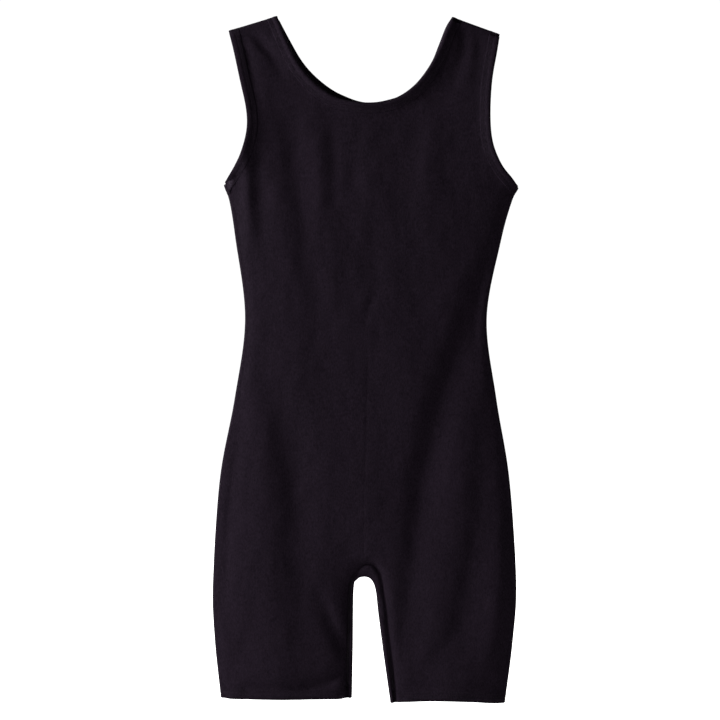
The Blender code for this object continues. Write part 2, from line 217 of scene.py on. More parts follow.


# %% [markdown]
# ## Folds
# Cloth that hangs from two straps never lies smooth. Soft drapes fall over the chest, a long fold runs from
# each armpit towards the crotch, and the legs carry the slack that the hips leave. Each fold is a stroke
# on the pattern, drawn downwards: its height (a valley is negative), how wide it is on the -x side
# and on the +x side, and its line. Two widths matter: a real fold has a steep flank and a slow one.

# %% Strokes for the folds
FRONT_FOLDS = [
    # the two long valleys from the armpits, and the ridges beside them
    (-8.2, 10.5, 19, [(180, -214), (153, -268), (128, -317), (112, -363), (100, -397), (87, -432),
                      (76, -478), (66, -524), (61, -570), (54, -639), (48, -685), (42, -731), (36, -795)]),
    (-5.2, 12, 18, [(-122, -380), (-106, -425), (-94, -458), (-84, -501), (-78, -547), (-77, -593),
                    (-74, -639), (-71, -685), (-72, -745)]),
    (1.6, 13, 12, [(-128, -400), (-119, -440), (-117, -490), (-117, -570), (-110, -639), (-101, -708),
                   (-100, -770)]),
    (-4.6, 11, 15, [(137, -440), (133, -524), (130, -570), (122, -627), (112, -673), (99, -708),
                    (74, -752), (60, -790)]),
    (3.6, 11, 8, [(156, -560), (154, -616), (152, -662), (144, -708), (126, -752)]),
    # chest drapes
    (1.6, 10, 7, [(-54, -92), (-53, -133), (-51, -185), (-48, -225)]),
    (-1.1, 5, 6, [(-38, -108), (-38, -161), (-33, -205)]),
    (-3.0, 9, 12, [(-90, -100), (-83, -133), (-78, -167), (-74, -207), (-70, -248), (-62, -290),
                   (-52, -335)]),
    (-1.0, 6, 8, [(-12, -120), (-13, -165), (-10, -215)]),
    (-1.3, 7, 9, [(10, -200), (12, -255), (8, -320)]),
    (1.5, 8, 13, [(76, -96), (75, -133), (70, -180), (66, -215)]),
    (-0.9, 5, 6, [(57, -104), (57, -130), (55, -160)]),
    (-1.0, 7, 9, [(-24, -270), (-22, -310), (-17, -365)]),
    (-1.2, 3.0, 3.6, [(19, -288), (11, -307), (6, -322), (1, -342)]),
    # pulls beside the armpit on the right of the wearer
    (4.2, 5.0, 4.6, [(-141, -140), (-135, -163), (-134, -202), (-131, -252)]),
    (-1.9, 5, 9, [(-122, -150), (-120, -207), (-113, -262)]),
    (-1.2, 3, 3, [(-151, -160), (-148, -178), (-150, -200)]),
    # the straps
    (-3.4, 3.2, 4.6, [(-146, -4), (-129, -13), (-115, -28), (-104, -42), (-96, -62)]),
    (-2.2, 3, 4, [(-145, -4), (-136, -31), (-130, -58), (-124, -95)]),
    (-3.2, 4.4, 6, [(112, 2), (113, -20), (110, -40), (103, -66)]),
    (-1.6, 4, 6, [(131, 0), (131, -26), (129, -48), (124, -76)]),
    (-2.2, 7, 9, [(100, -36), (97, -56), (86, -78)]),
    # the legs near their hems
    (-6.4, 6, 4.5, [(-50, -655), (-42, -678), (-33, -698), (-24, -717), (-22, -732), (-31, -746),
                    (-53, -757), (-90, -762), (-135, -764)]),
    (-1.6, 6, 6, [(-128, -692), (-145, -722), (-160, -752)]),
    (-3.2, 3.4, 8, [(-141, -440), (-147, -466), (-154, -524), (-158, -581), (-161, -627), (-163, -690)]),
    (-1.4, 4, 7, [(150, -420), (158, -480), (163, -560), (167, -640), (166, -720)]),
]
BACK_FOLDS = [
    (-5.0, 19, 12, [(-170, -220), (-142, -275), (-118, -325), (-98, -385), (-78, -455), (-64, -530),
                    (-54, -610), (-46, -690), (-38, -795)]),
    (-4.4, 12, 19, [(172, -226), (140, -290), (116, -345), (96, -410), (80, -480), (70, -560), (62, -640),
                    (58, -700), (60, -790)]),
    (3.0, 14, 10, [(-74, -112), (-68, -170), (-60, -235), (-44, -330), (-26, -430)]),
    (-2.6, 9, 12, [(-44, -100), (-40, -160), (-34, -240), (-20, -345)]),
    (2.2, 10, 9, [(4, -108), (2, -190), (-2, -300)]),
    (-2.4, 11, 8, [(36, -100), (34, -170), (26, -260), (16, -350)]),
    (2.8, 10, 13, [(84, -104), (80, -180), (68, -270), (50, -360), (36, -440)]),
    (-2.6, 12, 12, [(-128, -420), (-116, -500), (-108, -590), (-112, -680), (-118, -790)]),
    (2.6, 14, 14, [(-84, -470), (-80, -560), (-82, -650), (-86, -780)]),
    (2.4, 13, 12, [(106, -430), (98, -520), (96, -620), (100, -720), (106, -790)]),
    (-2.8, 10, 11, [(140, -450), (132, -540), (126, -630), (128, -720), (132, -790)]),
    (2.8, 5, 6, [(150, -168), (146, -205), (138, -260)]),
    (-2.4, 6, 6, [(136, -160), (130, -205), (120, -255)]),
    (2.4, 6, 6, [(-142, -160), (-138, -200), (-130, -250)]),
    (-2.4, 4, 5, [(-140, -8), (-128, -22), (-112, -44), (-104, -66)]),
    (-2.2, 5, 5, [(124, -6), (120, -30), (112, -58)]),
    (-2.2, 5, 5, [(-26, -690), (-34, -716), (-50, -738), (-80, -752)]),
    (-2.4, 5, 5, [(40, -700), (48, -726), (66, -744), (96, -754)]),
]
RISE_SEAMS = {
    FRONT: [(5, -318), (2, -440), (-1, -560), (-1, -610)],
    BACK: [(0, -330), (0, -440), (-1, -560), (-1, -610)],
}
ROLLED_INSEAM = [
    (-22, -795), (-20, -740), (-19, -690), (-18.5, -667), (-17, -648), (-12, -631), (-4, -621), (6, -619),
    (14, -625), (19, -639), (23, -662), (26, -690), (29, -719), (32, -751), (34, -790),
]
FOLDS = {
    side: [(top, near, far, smooth_curve(*line)[::4]) for top, near, far, line in folds]
    for side, folds in ((FRONT, FRONT_FOLDS), (BACK, BACK_FOLDS))
}
SEAM_GROOVES = {side: smooth_curve(*line)[::3] for side, line in RISE_SEAMS.items()}
ROLLED_LINE = smooth_curve(*ROLLED_INSEAM)[::3]

# %% [markdown]
# Bound edges hold elastic, so they stand a little proud of the cloth beside them. The hems do the opposite:
# their stitches pull a shallow groove. Both follow an edge of the pattern, so they need no strokes.

# %% How high the folds and edges stand
LONG_WAVES, SHORT_WAVES = (0.45, 55, 2.6, 3), (0.16, 17, 2.2, 11)  # height, length, stretch and seed
STROKE_END, STROKE_FADE = 0.04, 0.6
RISE_GROOVE, RISE_GROOVE_WIDTH = 0.3, 1.0
ROLLED_GROOVE, ROLLED_OUTER, ROLLED_INNER = 5.4, 2.5, 1.8
RAISED_EDGES = {  # height, width, and how far along the edge it is highest, with its spread
    "neck": (3.6, 5.0, 0.5, 0.4),
    "right_armhole": (5.2, 7.5, 0.66, 0.22),
    "left_armhole": (3.4, 6.0, 0.5, 0.3),
}
HEM_GROOVE, HEM_GROOVE_AT, HEM_GROOVE_WIDTH = 1.5, 12.5, 4.5
FLAT_AT_SEAM = 9.0


def waves(points, length, stretch, seed, count=14):
    """A smooth random surface, mostly between -2 and 2, of waves about this long, stretched downwards."""
    rng = np.random.default_rng(seed)
    turn = rng.uniform(0, 2 * math.pi, count)
    pace = 2 * math.pi / (length * rng.uniform(0.7, 1.5, count))
    phase = rng.uniform(0, 2 * math.pi, count)
    x = points[:, :1] * np.cos(turn) * pace
    z = points[:, 1:] * np.sin(turn) * pace / stretch
    return np.sin(x + z + phase).sum(axis=1) / math.sqrt(count / 2)


def bump(distance, width):
    """1 at no distance, falling smoothly to 0 within about three widths."""
    return np.exp(-0.5 * (distance / width) ** 2)


def fold_height(side, points, seam_distance):
    """How far the folds lift a point of this side from the smooth body, outwards."""
    height = 0
    for top, length, stretch, seed in (LONG_WAVES, SHORT_WAVES):
        height = height + top * waves(points, length, stretch, seed + side)
    for top, near, far, line in FOLDS[side]:
        distance, along, left = nearest_on(points, line)
        fade = np.sin(math.pi * np.clip(along, STROKE_END, 1 - STROKE_END)) ** STROKE_FADE
        height += top * fade * bump(distance, np.where(left, far, near))
    for edge, (top, width, highest, spread) in RAISED_EDGES.items():
        distance, along, _ = nearest_on(points, PATTERN[side][edge][::4])
        height += top * bump(distance, width) * bump(along - highest, spread)
    for edge in ("right_hem", "left_hem"):
        distance = nearest_on(points, PATTERN[side][edge][::6])[0]
        height -= HEM_GROOVE * bump(distance - HEM_GROOVE_AT, HEM_GROOVE_WIDTH)
    height *= eased(seam_distance / FLAT_AT_SEAM)
    distance, along, _ = nearest_on(points, SEAM_GROOVES[side])
    height -= RISE_GROOVE * bump(distance, RISE_GROOVE_WIDTH) * eased(along * 2)
    if side == FRONT:
        distance, _, left = nearest_on(points, ROLLED_LINE)
        height -= ROLLED_GROOVE * bump(distance, np.where(left, ROLLED_OUTER, ROLLED_INNER))
    return height


# %% [markdown]
# ## Spots: one address for every piece
# A spot is a place on the cloth: which side it is on, its pattern point and, at a seam, how far round the rim
# it has turned. Asked for an offset and a width it gives a point in space, counted out from the cloth's inner
# face and in from its edge. The cloth, bindings, stitches and seams all ask the same question, so they stay
# together whatever the folds and the simulation do.

# %% Spots
SQUASHED_AT_SEAMS = 0.8


class Drape:
    """How the hanging cloth has moved from its pattern shape, as a smooth field over the pattern."""

    cell, margin, blurs = 5.0, 30.0, 6

    def __init__(self):
        outline = np.vstack(list(PATTERN[FRONT].values()))
        self.low = outline.min(axis=0) - self.margin
        self.shape = np.ceil((outline.max(axis=0) + self.margin - self.low) / self.cell).astype(int) + 1
        self.fields = {side: np.zeros((*self.shape, 3)) for side in (FRONT, BACK)}

    def corners(self, points):
        place = np.clip((points - self.low) / self.cell, 0, self.shape - 1.001)
        base = place.astype(int)
        part = place - base
        for i in (0, 1):
            for j in (0, 1):
                weight = np.abs(1 - i - part[:, 0]) * np.abs(1 - j - part[:, 1])
                yield base[:, 0] + i, base[:, 1] + j, weight

    def record(self, side, points, moves):
        """Spreads the moves known at some points over the whole field."""
        total, weights = np.zeros((*self.shape, 3)), np.zeros((*self.shape, 1))
        for i, j, weight in self.corners(points):
            np.add.at(total, (i, j), moves * weight[:, None])
            np.add.at(weights, (i, j), weight[:, None])
        for _ in range(self.blurs):
            total, weights = (blurred(grid) for grid in (total, weights))
        self.fields[side] = total / np.maximum(weights, 1e-6)

    def move(self, side, points):
        return sum(self.fields[side][i, j] * weight[:, None] for i, j, weight in self.corners(points))


def blurred(grid):
    for axis in (0, 1):
        grid = (np.roll(grid, 1, axis) + 2 * grid + np.roll(grid, -1, axis)) / 4
    return grid


drape = Drape()


class Spots:
    """Places on the cloth, as arrays: side, pattern point, direction across a band, direction out, angle."""

    def __init__(self, side, point, across=None, out=None, angle=None):
        n = len(point)
        self.side = np.broadcast_to(side, n)
        self.point = np.asarray(point, float)
        self.across = np.zeros((n, 2)) if across is None else np.broadcast_to(across, (n, 2))
        self.out = np.zeros((n, 2)) if out is None else np.broadcast_to(out, (n, 2))
        self.angle = np.zeros(n) if angle is None else np.broadcast_to(angle, n)

    def __len__(self):
        return len(self.point)

    def __add__(self, other):
        return Spots(*(np.concatenate([getattr(self, k), getattr(other, k)]) for k in self.parts))

    parts = ("side", "point", "across", "out", "angle")

    def only(self, chosen):
        return Spots(*(getattr(self, k)[chosen] for k in self.parts))

    def at(self, offset, width=0.0):
        """The points in space, in metres."""
        p = self.point + self.across * np.reshape(width, (-1, 1))
        seam_distance = np.where(self.angle > 0, 0, to_seam(p))
        depth = half_depth(p, seam_distance)
        for side in (FRONT, BACK):
            here = (self.side == side) & (self.angle == 0)
            depth[here] += fold_height(side, p[here], seam_distance[here])
        squashed = SQUASHED_AT_SEAMS * max(offset - CLOTH, 0) * np.sin(self.angle)
        radius = depth + offset - squashed
        turn = self.out * (np.sin(self.angle) * radius)[:, None]
        flat = p + turn
        made = np.stack([flat[:, 0], self.side * np.cos(self.angle) * radius, flat[:, 1]], axis=1)
        moves = {side: drape.move(side, p) for side in (FRONT, BACK)}
        own = np.where((self.side == FRONT)[:, None], moves[FRONT], moves[BACK])
        shared = (moves[FRONT] + moves[BACK]) / 2
        share = np.sin(self.angle)[:, None]
        return (made + own * (1 - share) + shared * share) * MM


# %% Spots along an edge, a seam and right round an opening
TURNS = np.radians([15, 32, 50, 70])
RIM, NEAR_RIM = math.radians(89), math.radians(80)
NEXT_TO = {
    "neck": ("left_shoulder", "right_shoulder"),
    "right_armhole": ("right_shoulder", "right_side"),
    "left_armhole": ("left_side", "left_shoulder"),
    "right_hem": ("right_side", "crotch"),
    "left_hem": ("crotch", "left_side"),
}
LEAN = 40.0


def evenly(line, step):
    """The same line with its points about one step apart."""
    own = lengths_along(line)
    return interpolate(line, own, np.linspace(0, own[-1], max(3, round(own[-1] / step)) + 1))


def seam_end(name, at_start):
    """The direction along a seam away from one of its ends, and the direction out of the cloth there."""
    line = evenly(PATTERN[FRONT][name], 8)
    end, next_to_it = (0, 1) if at_start else (-1, -2)
    away = line[next_to_it] - line[end]
    return away / np.linalg.norm(away), -inward(line)[end]


def edge_spots(side, edge, step):
    """Spots along an open edge. Near its ends the band leans to the seam that it meets there."""
    line = evenly(PATTERN[side][edge], step)
    before, after = (seam_end(name, start)[0] for name, start in zip(NEXT_TO[edge], (False, True)))
    across = inward(line)
    for corner, lean in ((line[0], before), (line[-1], after)):
        share = np.clip(np.linalg.norm(line - corner, axis=1) / LEAN, 0, 1)[:, None]
        across = lean * (1 - share) + across * share
    return Spots(side, line, across / np.linalg.norm(across, axis=1, keepdims=True))


def opening(edge, step=4.0):
    """Spots right round an opening: the front edge, the turn at a seam, the rear edge and the other turn."""
    front, back = (edge_spots(side, edge, step) for side in (FRONT, BACK))
    turns = []
    for end, seam, at_start in ((-1, NEXT_TO[edge][1], True), (0, NEXT_TO[edge][0], False)):
        across, out = seam_end(seam, at_start)
        count = len(TURNS)
        corner = np.repeat(front.point[end][None], 2 * count + 1, axis=0)
        angle = np.concatenate([TURNS, [math.pi / 2], TURNS[::-1]])
        side = np.array([FRONT] * (count + 1) + [BACK] * count)
        turns.append(Spots(side, corner, across, out, angle))
    back = back.only(np.arange(len(back))[::-1])
    last = turns[1].only(np.arange(len(turns[1]))[::-1])
    return front + turns[0] + back + last


print("spots round the neck:", len(opening("neck")))

# %% [markdown]
# ## Making meshes
# Two helpers make the larger pieces. `sheet_of` fills a pattern with triangles, which suits an outline with
# this many curves. `sweep` carries a cross-section along a row of spots, which suits bindings and tapes.

# %% Helpers that make meshes
GRID = 4.5
ROW_SPACING = 0.87
CLEAR_OF_BORDER, GRID_TO_BORDER, GRID_TO_GROOVE = 0.9, 0.6, 0.55
GROOVE_ROWS = (-3.6, -1.8, -0.8, 0, 0.8, 1.8, 3.6)


def new_piece(name, points, faces, material):
    mesh = bpy.data.meshes.new(name)
    mesh.from_pydata([tuple(p) for p in points], [], [tuple(int(i) for i in f) for f in faces])
    mesh.validate()
    piece = bpy.data.objects.new(name, mesh)
    bpy.context.scene.collection.objects.link(piece)
    mesh.materials.append(material)
    mesh.shade_smooth()
    return piece


def is_inside(points, border):
    crossings = np.zeros(len(points), int)
    for a, b in zip(border, np.roll(border, -1, axis=0)):
        if a[1] != b[1]:
            level = (a[1] > points[:, 1]) != (b[1] > points[:, 1])
            crossings += level & (points[:, 0] < a[0] + (b[0] - a[0]) * (points[:, 1] - a[1]) / (b[1] - a[1]))
    return crossings % 2 == 1


def far_from(points, others, gap):
    """Which points are further than the gap from all the others."""
    keep = np.ones(len(points), bool)
    for start in range(0, len(others), 200):
        part = others[start : start + 200]
        keep &= (np.linalg.norm(points[:, None] - part[None], axis=2) > gap).all(axis=1)
    return keep


def seam_rows(line, step):
    """Rows of points close to a pressed-in seam line, where its groove needs a finer mesh."""
    spine = evenly(line, step)
    across = inward(spine)
    return np.vstack([spine + across * gap for gap in GROOVE_ROWS])


def sheet_of(side, step):
    """Spots and triangles that fill one side of the pattern, with its seam edges turned to the rim."""
    edges = {name: evenly(line, step) for name, line in PATTERN[side].items()}
    border = np.vstack([line[:-1] for line in edges.values()])
    extra = [seam_rows(SEAM_GROOVES[side], step)]
    if side == FRONT:
        extra.append(seam_rows(ROLLED_LINE, step))
    extra = np.vstack(extra) if step < 2 * GRID else np.zeros((0, 2))
    extra = extra[is_inside(extra, border)]
    extra = extra[far_from(extra, border, CLEAR_OF_BORDER)]
    low, high = border.min(axis=0), border.max(axis=0)
    rows = np.arange(low[1], high[1], step * ROW_SPACING)
    columns = np.arange(low[0], high[0], step)
    grid = np.array([(x + (k % 2) * step / 2, z) for k, z in enumerate(rows) for x in columns])
    grid = grid[is_inside(grid, border)]
    grid = grid[far_from(grid, border, GRID_TO_BORDER * step)]
    grid = grid[far_from(grid, extra, GRID_TO_GROOVE * step)]
    flat = [Vector(p) for p in np.vstack([border, extra, grid])]
    filled = geometry.delaunay_2d_cdt(flat, [], [list(range(len(border)))], 1, 1e-4)
    points = np.array([tuple(p) for p in filled[0]])
    faces = [tuple(face) for face in filled[2]]
    place = {(round(float(p[0]), 2), round(float(p[1]), 2)): i for i, p in enumerate(points)}
    spots = Spots(side, points)
    rims = {}
    for name in SEAMS:
        line = edges[name]
        rows = [[place[round(float(np.float32(x)), 2), round(float(np.float32(z)), 2)] for x, z in line]]
        for angle in [*TURNS, RIM]:
            rows.append(list(range(len(spots), len(spots) + len(line))))
            spots = spots + Spots(side, line, out=-inward(line), angle=angle)
        for near, far in zip(rows, rows[1:]):
            faces += [(near[i + 1], near[i], far[i], far[i + 1]) for i in range(len(line) - 1)]
        rims[name] = rows
    return spots, faces, rims


def tube_faces(n, m, closed):
    """Faces between n rings of m points: a closed hoop, or a tube with an end cap at each end."""
    faces = [
        (i * m + k, i * m + (k + 1) % m, (i + 1) % n * m + (k + 1) % m, (i + 1) % n * m + k)
        for i in range(n if closed else n - 1)
        for k in range(m)
    ]
    if not closed:
        faces += [tuple(range(m))[::-1], tuple((n - 1) * m + k for k in range(m))]
    return faces


def grid_faces(n, m):
    """Faces of an open sheet of n rows of m points."""
    return [
        (i * m + k, i * m + k + 1, (i + 1) * m + k + 1, (i + 1) * m + k)
        for i in range(n - 1)
        for k in range(m - 1)
    ]


def sweep(name, spots, profile, material, closed=True):
    """A solid with this cross-section, given as corners (width, offset), along a row of spots."""
    rings = np.stack([spots.at(offset, width) for width, offset in profile], axis=1)
    piece = new_piece(name, rings.reshape(-1, 3), tube_faces(*rings.shape[:2], closed), material)
    fix_normals(piece)
    return piece


def fix_normals(piece):
    bm = bmesh.new()
    bm.from_mesh(piece.data)
    bmesh.ops.recalc_face_normals(bm, faces=bm.faces)
    bm.to_mesh(piece.data)
    bm.free()


def solidify(piece, thickness):
    """Gives a sheet its thickness, inwards from the face that it is drawn on."""
    modifier = piece.modifiers.new("thickness", "SOLIDIFY")
    modifier.thickness = thickness * MM
    modifier.offset = -1
    modifier.use_even_offset = False

# %% [markdown]
# ## Letting it hang
# A drawn fold is a guess about cloth. A short simulation lets the drawn shape answer to its weight and to the
# stiffness of the knit: the shoulders stay on the hanger, the edges are held a little, and the rest may
# settle. It runs on a coarse mesh of the whole garment, front and back joined at the rim. Only its movement
# is kept, as a smooth field over the pattern, so the fine mesh and every stitch can follow that movement.

# %% A coarse garment for the simulation
SIM_GRID = 9.0
SIM_FRAMES = 26
MOST_MOVE = 7.0
HELD_EVERYWHERE, HELD_AT_EDGES, EDGE_REACH, HANGER_REACH = 0.06, 0.35, 14, 7


def coarse_garment():
    """Points, triangles and pattern places of the whole garment, with one row of points at each rim."""
    spots, faces, owners = None, [], []
    for side in (FRONT, BACK):
        own, own_faces, rims = sheet_of(side, SIM_GRID)
        start = 0 if spots is None else len(spots)
        faces += [tuple(i + start for i in face) for face in own_faces]
        spots = own if spots is None else spots + own
        owners.append({name: [[i + start for i in row] for row in rows] for name, rows in rims.items()})
    merged = {}
    for name in SEAMS:
        merged.update(zip(owners[1][name][-1], owners[0][name][-1]))
    faces = [tuple(merged.get(i, i) for i in face) for face in faces]
    return spots, faces


def pin_weights(spots):
    """How firmly each point is held: fully on the hanger, a little at the outline, hardly anywhere else."""
    weight = np.full(len(spots), HELD_EVERYWHERE)
    edge = np.min([nearest_on(spots.point, evenly(line, 8))[0] for line in PATTERN[FRONT].values()], axis=0)
    weight += HELD_AT_EDGES * np.exp(-((edge / EDGE_REACH) ** 2))
    shoulders = [PATTERN[FRONT][name] for name in SEAMS if "shoulder" in name]
    to_hanger = np.min([nearest_on(spots.point, line)[0] for line in shoulders], axis=0)
    weight[to_hanger < HANGER_REACH] = 1
    return weight


def settle():
    """Runs the cloth simulation and records how far it moves each side."""
    spots, faces = coarse_garment()
    start = spots.at(CLOTH)
    used = sorted({i for face in faces for i in face})
    renumber = {i: k for k, i in enumerate(used)}
    piece = new_piece("hanging_garment", start[used], [[renumber[i] for i in f] for f in faces], knit_cloth)
    fix_normals(piece)
    held = piece.vertex_groups.new(name="held")
    for k, weight in enumerate(pin_weights(spots.only(np.array(used)))):
        held.add([k], float(weight), "REPLACE")
    cloth = piece.modifiers.new("cloth", "CLOTH")
    settings = cloth.settings
    settings.quality = 7
    settings.mass = 0.0004
    settings.tension_stiffness = settings.compression_stiffness = 12
    settings.shear_stiffness = 6
    settings.bending_stiffness = 0.25
    settings.air_damping = 3
    settings.vertex_group_mass = "held"
    settings.pin_stiffness = 0.6
    cloth.collision_settings.use_collision = False
    scene = bpy.context.scene
    for frame_number in range(1, SIM_FRAMES + 1):
        scene.frame_set(frame_number)
    mesh = piece.evaluated_get(bpy.context.evaluated_depsgraph_get()).to_mesh()
    end = np.empty(len(used) * 3)
    mesh.vertices.foreach_get("co", end)
    moves = (end.reshape(-1, 3) - start[used]) / MM
    size = np.linalg.norm(moves, axis=1, keepdims=True)
    moves *= np.minimum(1, MOST_MOVE / np.maximum(size, 1e-9))
    kept = spots.only(np.array(used))
    for side in (FRONT, BACK):
        here = (kept.side == side) | (kept.angle > NEAR_RIM)
        drape.record(side, kept.point[here], moves[here])
    bpy.data.objects.remove(piece, do_unlink=True)
    scene.frame_set(1)
    print(f"settled: mean move {size.mean():.2f} mm, largest {size.max():.2f} mm")


# %% [markdown]
# ## Knit, yarn and tape
# Jersey knit is made of columns of small V-shaped loops. A node group works that pattern out from position
# alone, so it can go in every material that is knitted, each with its own number of loops to the metre. A
# second group gives the soft mottling of dyed cotton: lint, rubbed places, and yarn that dyed unevenly.

# %% Node helpers
def set_inputs(tree, node, inputs):
    """Sets inputs to values or joins them to other nodes' outputs. The first input is also called i0."""
    for key, value in inputs.items():
        by_number = key[0] == "i" and key[1:].isdigit()
        socket = node.inputs[int(key[1:]) if by_number else key.replace("_", " ")]
        if isinstance(value, bpy.types.NodeSocket):
            tree.links.new(value, socket)
        else:
            socket.default_value = value
    return node


def add_node(tree, kind, **inputs):
    return set_inputs(tree, tree.nodes.new(kind), inputs)


def use_group(tree, group, **inputs):
    node = tree.nodes.new("ShaderNodeGroup")
    node.node_tree = group
    return set_inputs(tree, node, inputs)


def calc(tree, operation, a, b=0.0, c=0.0):
    node = add_node(tree, "ShaderNodeMath", i0=a, i1=b, i2=c)
    node.operation = operation
    return node.outputs[0]


def node_group(name, inputs, outputs):
    group = bpy.data.node_groups.new(name, "ShaderNodeTree")
    for label, kind, value in inputs:
        socket = group.interface.new_socket(name=label, in_out="INPUT", socket_type=kind)
        if value is not None:
            socket.default_value = value
    for label in outputs:
        group.interface.new_socket(name=label, in_out="OUTPUT", socket_type="NodeSocketFloat")
    return group, group.nodes.new("NodeGroupInput"), group.nodes.new("NodeGroupOutput")


# %% The knitted loops and the dye
LOOP_SLANT, LOOPS_UP_PER_ACROSS = 1.3, 1.25
FUZZ_SCALE, YARN_SCALE, WEAR_SCALE, LINT_SCALE = 900.0, 820.0, 9.0, 330.0
YARN_STRETCH = (1.0, 1.0, 0.45)


def make_jersey_loops():
    """Height of a jersey face from a position: columns of V-shaped loops."""
    group, given, result = node_group(
        "jersey_loops",
        [("Position", "NodeSocketVector", None), ("Loops per metre", "NodeSocketFloat", 1100.0)],
        ["Height"],
    )
    place = add_node(group, "ShaderNodeSeparateXYZ", Vector=given.outputs["Position"])
    per_metre = given.outputs["Loops per metre"]
    x = calc(group, "MULTIPLY", place.outputs["X"], per_metre)
    z = calc(group, "MULTIPLY", place.outputs["Z"], per_metre)
    leg = calc(group, "ABSOLUTE", calc(group, "SUBTRACT", calc(group, "FRACT", x), 0.5))
    rise = calc(group, "MULTIPLY_ADD", leg, LOOP_SLANT, calc(group, "MULTIPLY", z, LOOPS_UP_PER_ACROSS))
    wave = calc(group, "SINE", calc(group, "MULTIPLY", rise, 2 * math.pi))
    loop = calc(group, "MULTIPLY_ADD", wave, 0.5, 0.5)
    column = calc(group, "SINE", calc(group, "MULTIPLY", leg, 2 * math.pi))
    height = calc(group, "MULTIPLY", loop, calc(group, "MULTIPLY_ADD", column, 0.6, 0.4))
    group.links.new(height, result.inputs["Height"])
    return group


def make_dyed_cotton():
    """Mottling of dyed cotton: the shade of the yarn, broad worn places, and fine fuzz."""
    group, given, result = node_group(
        "dyed_cotton",
        [("Position", "NodeSocketVector", None), ("Lint", "NodeSocketFloat", 0.5)],
        ["Shade", "Wear", "Fuzz"],
    )
    position = given.outputs["Position"]
    fine = add_node(group, "ShaderNodeTexNoise", Vector=position, Scale=FUZZ_SCALE, Detail=3.0)
    stretched = add_node(group, "ShaderNodeVectorMath", i0=position, i1=YARN_STRETCH)
    stretched.operation = "MULTIPLY"
    yarns = stretched.outputs[0]
    streaks = add_node(group, "ShaderNodeTexNoise", Vector=yarns, Scale=YARN_SCALE, Detail=3.0)
    broad = add_node(group, "ShaderNodeTexNoise", Vector=position, Scale=WEAR_SCALE, Detail=4.0)
    lint = add_node(group, "ShaderNodeTexNoise", Vector=position, Scale=LINT_SCALE, Detail=6.0, Roughness=0.7)
    specks = add_node(group, "ShaderNodeMapRange", Value=lint.outputs["Fac"], From_Min=0.62, From_Max=0.78)
    grain = calc(group, "MULTIPLY_ADD", fine.outputs["Fac"], 0.8, -1.05)
    yarn = calc(group, "MULTIPLY_ADD", streaks.outputs["Fac"], 1.9, grain)
    shade = calc(group, "MULTIPLY_ADD", specks.outputs[0], given.outputs["Lint"], yarn)
    group.links.new(shade, result.inputs["Shade"])
    group.links.new(broad.outputs["Fac"], result.inputs["Wear"])
    group.links.new(fine.outputs["Fac"], result.inputs["Fuzz"])
    return group


jersey_loops = make_jersey_loops()
dyed_cotton = make_dyed_cotton()


# %% Cloth materials
def cloth_material(name, dark, light, loops, bump, roughness=(0.78, 0.95), lint=0.5):
    """A knitted or woven cloth between two colours, with loops this fine and this deep in millimetres."""
    material = bpy.data.materials.new(name)
    material.use_nodes = True
    tree = material.node_tree
    shader = tree.nodes["Principled BSDF"]
    position = tree.nodes.new("ShaderNodeTexCoord").outputs["Object"]
    knit = use_group(tree, jersey_loops, Position=position, Loops_per_metre=loops)
    cotton = use_group(tree, dyed_cotton, Position=position, Lint=lint)
    height, shade = knit.outputs["Height"], cotton.outputs["Shade"]
    # The colour is lighter on the tops of the knit loops and darker in the hollows between them: painted
    # shade in the knit's small recesses, added to the yarn's random mottling and worn patches, which are the
    # cloth's own colour.
    mottle_and_loop_shade = calc(tree, "MULTIPLY_ADD", height, 0.35, calc(tree, "MULTIPLY", shade, 0.75))
    wear = cotton.outputs["Wear"]
    mottle_and_loop_shade = calc(tree, "MULTIPLY_ADD", wear, 0.3, mottle_and_loop_shade)
    colour = tree.nodes.new("ShaderNodeMix")
    colour.data_type = "RGBA"
    tree.links.new(mottle_and_loop_shade, colour.inputs["Factor"])
    colour.inputs[6].default_value, colour.inputs[7].default_value = (*dark, 1), (*light, 1)
    tree.links.new(colour.outputs[2], shader.inputs["Base Color"])
    least, most = roughness
    rough = add_node(
        tree, "ShaderNodeMapRange", Value=wear, From_Min=0.3, From_Max=0.7, To_Min=least, To_Max=most
    )
    tree.links.new(rough.outputs[0], shader.inputs["Roughness"])
    relief = calc(tree, "MULTIPLY_ADD", cotton.outputs["Fuzz"], 0.6, height)
    raised = add_node(tree, "ShaderNodeBump", Height=relief, Distance=bump * MM, Strength=1.0)
    tree.links.new(raised.outputs["Normal"], shader.inputs["Normal"])
    shader.inputs["IOR"].default_value = 1.08
    return material


# The span between these two colours holds the yarn's own random mottling and also the painted shade between
# the knit loops.
DARK_YARN, LIGHT_YARN = (0.0024, 0.0015, 0.0028), (0.0142, 0.0097, 0.0156)
knit_cloth = cloth_material("black_jersey", DARK_YARN, LIGHT_YARN, 1150, 0.05)
binding_cloth = cloth_material("black_jersey_binding", DARK_YARN, LIGHT_YARN, 1250, 0.05)
sewing_thread = cloth_material(
    "black_thread", (0.0060, 0.0046, 0.0066), (0.0170, 0.0135, 0.0180), 2600, 0.03, (0.65, 0.8), lint=0.2
)
covered_elastic = cloth_material(
    "black_elastic", (0.008, 0.008, 0.009), (0.022, 0.021, 0.024), 700, 0.3, (0.55, 0.7)
)
lining_cotton = cloth_material("black_cotton", (0.007, 0.006, 0.007), (0.017, 0.015, 0.017), 800, 0.2)
label_satin = cloth_material(
    "label_satin", (0.62, 0.62, 0.60), (0.82, 0.82, 0.80), 3000, 0.03, (0.35, 0.5), lint=0.1
)
print("materials made:", len(bpy.data.materials))

# %% Run the simulation
settle()

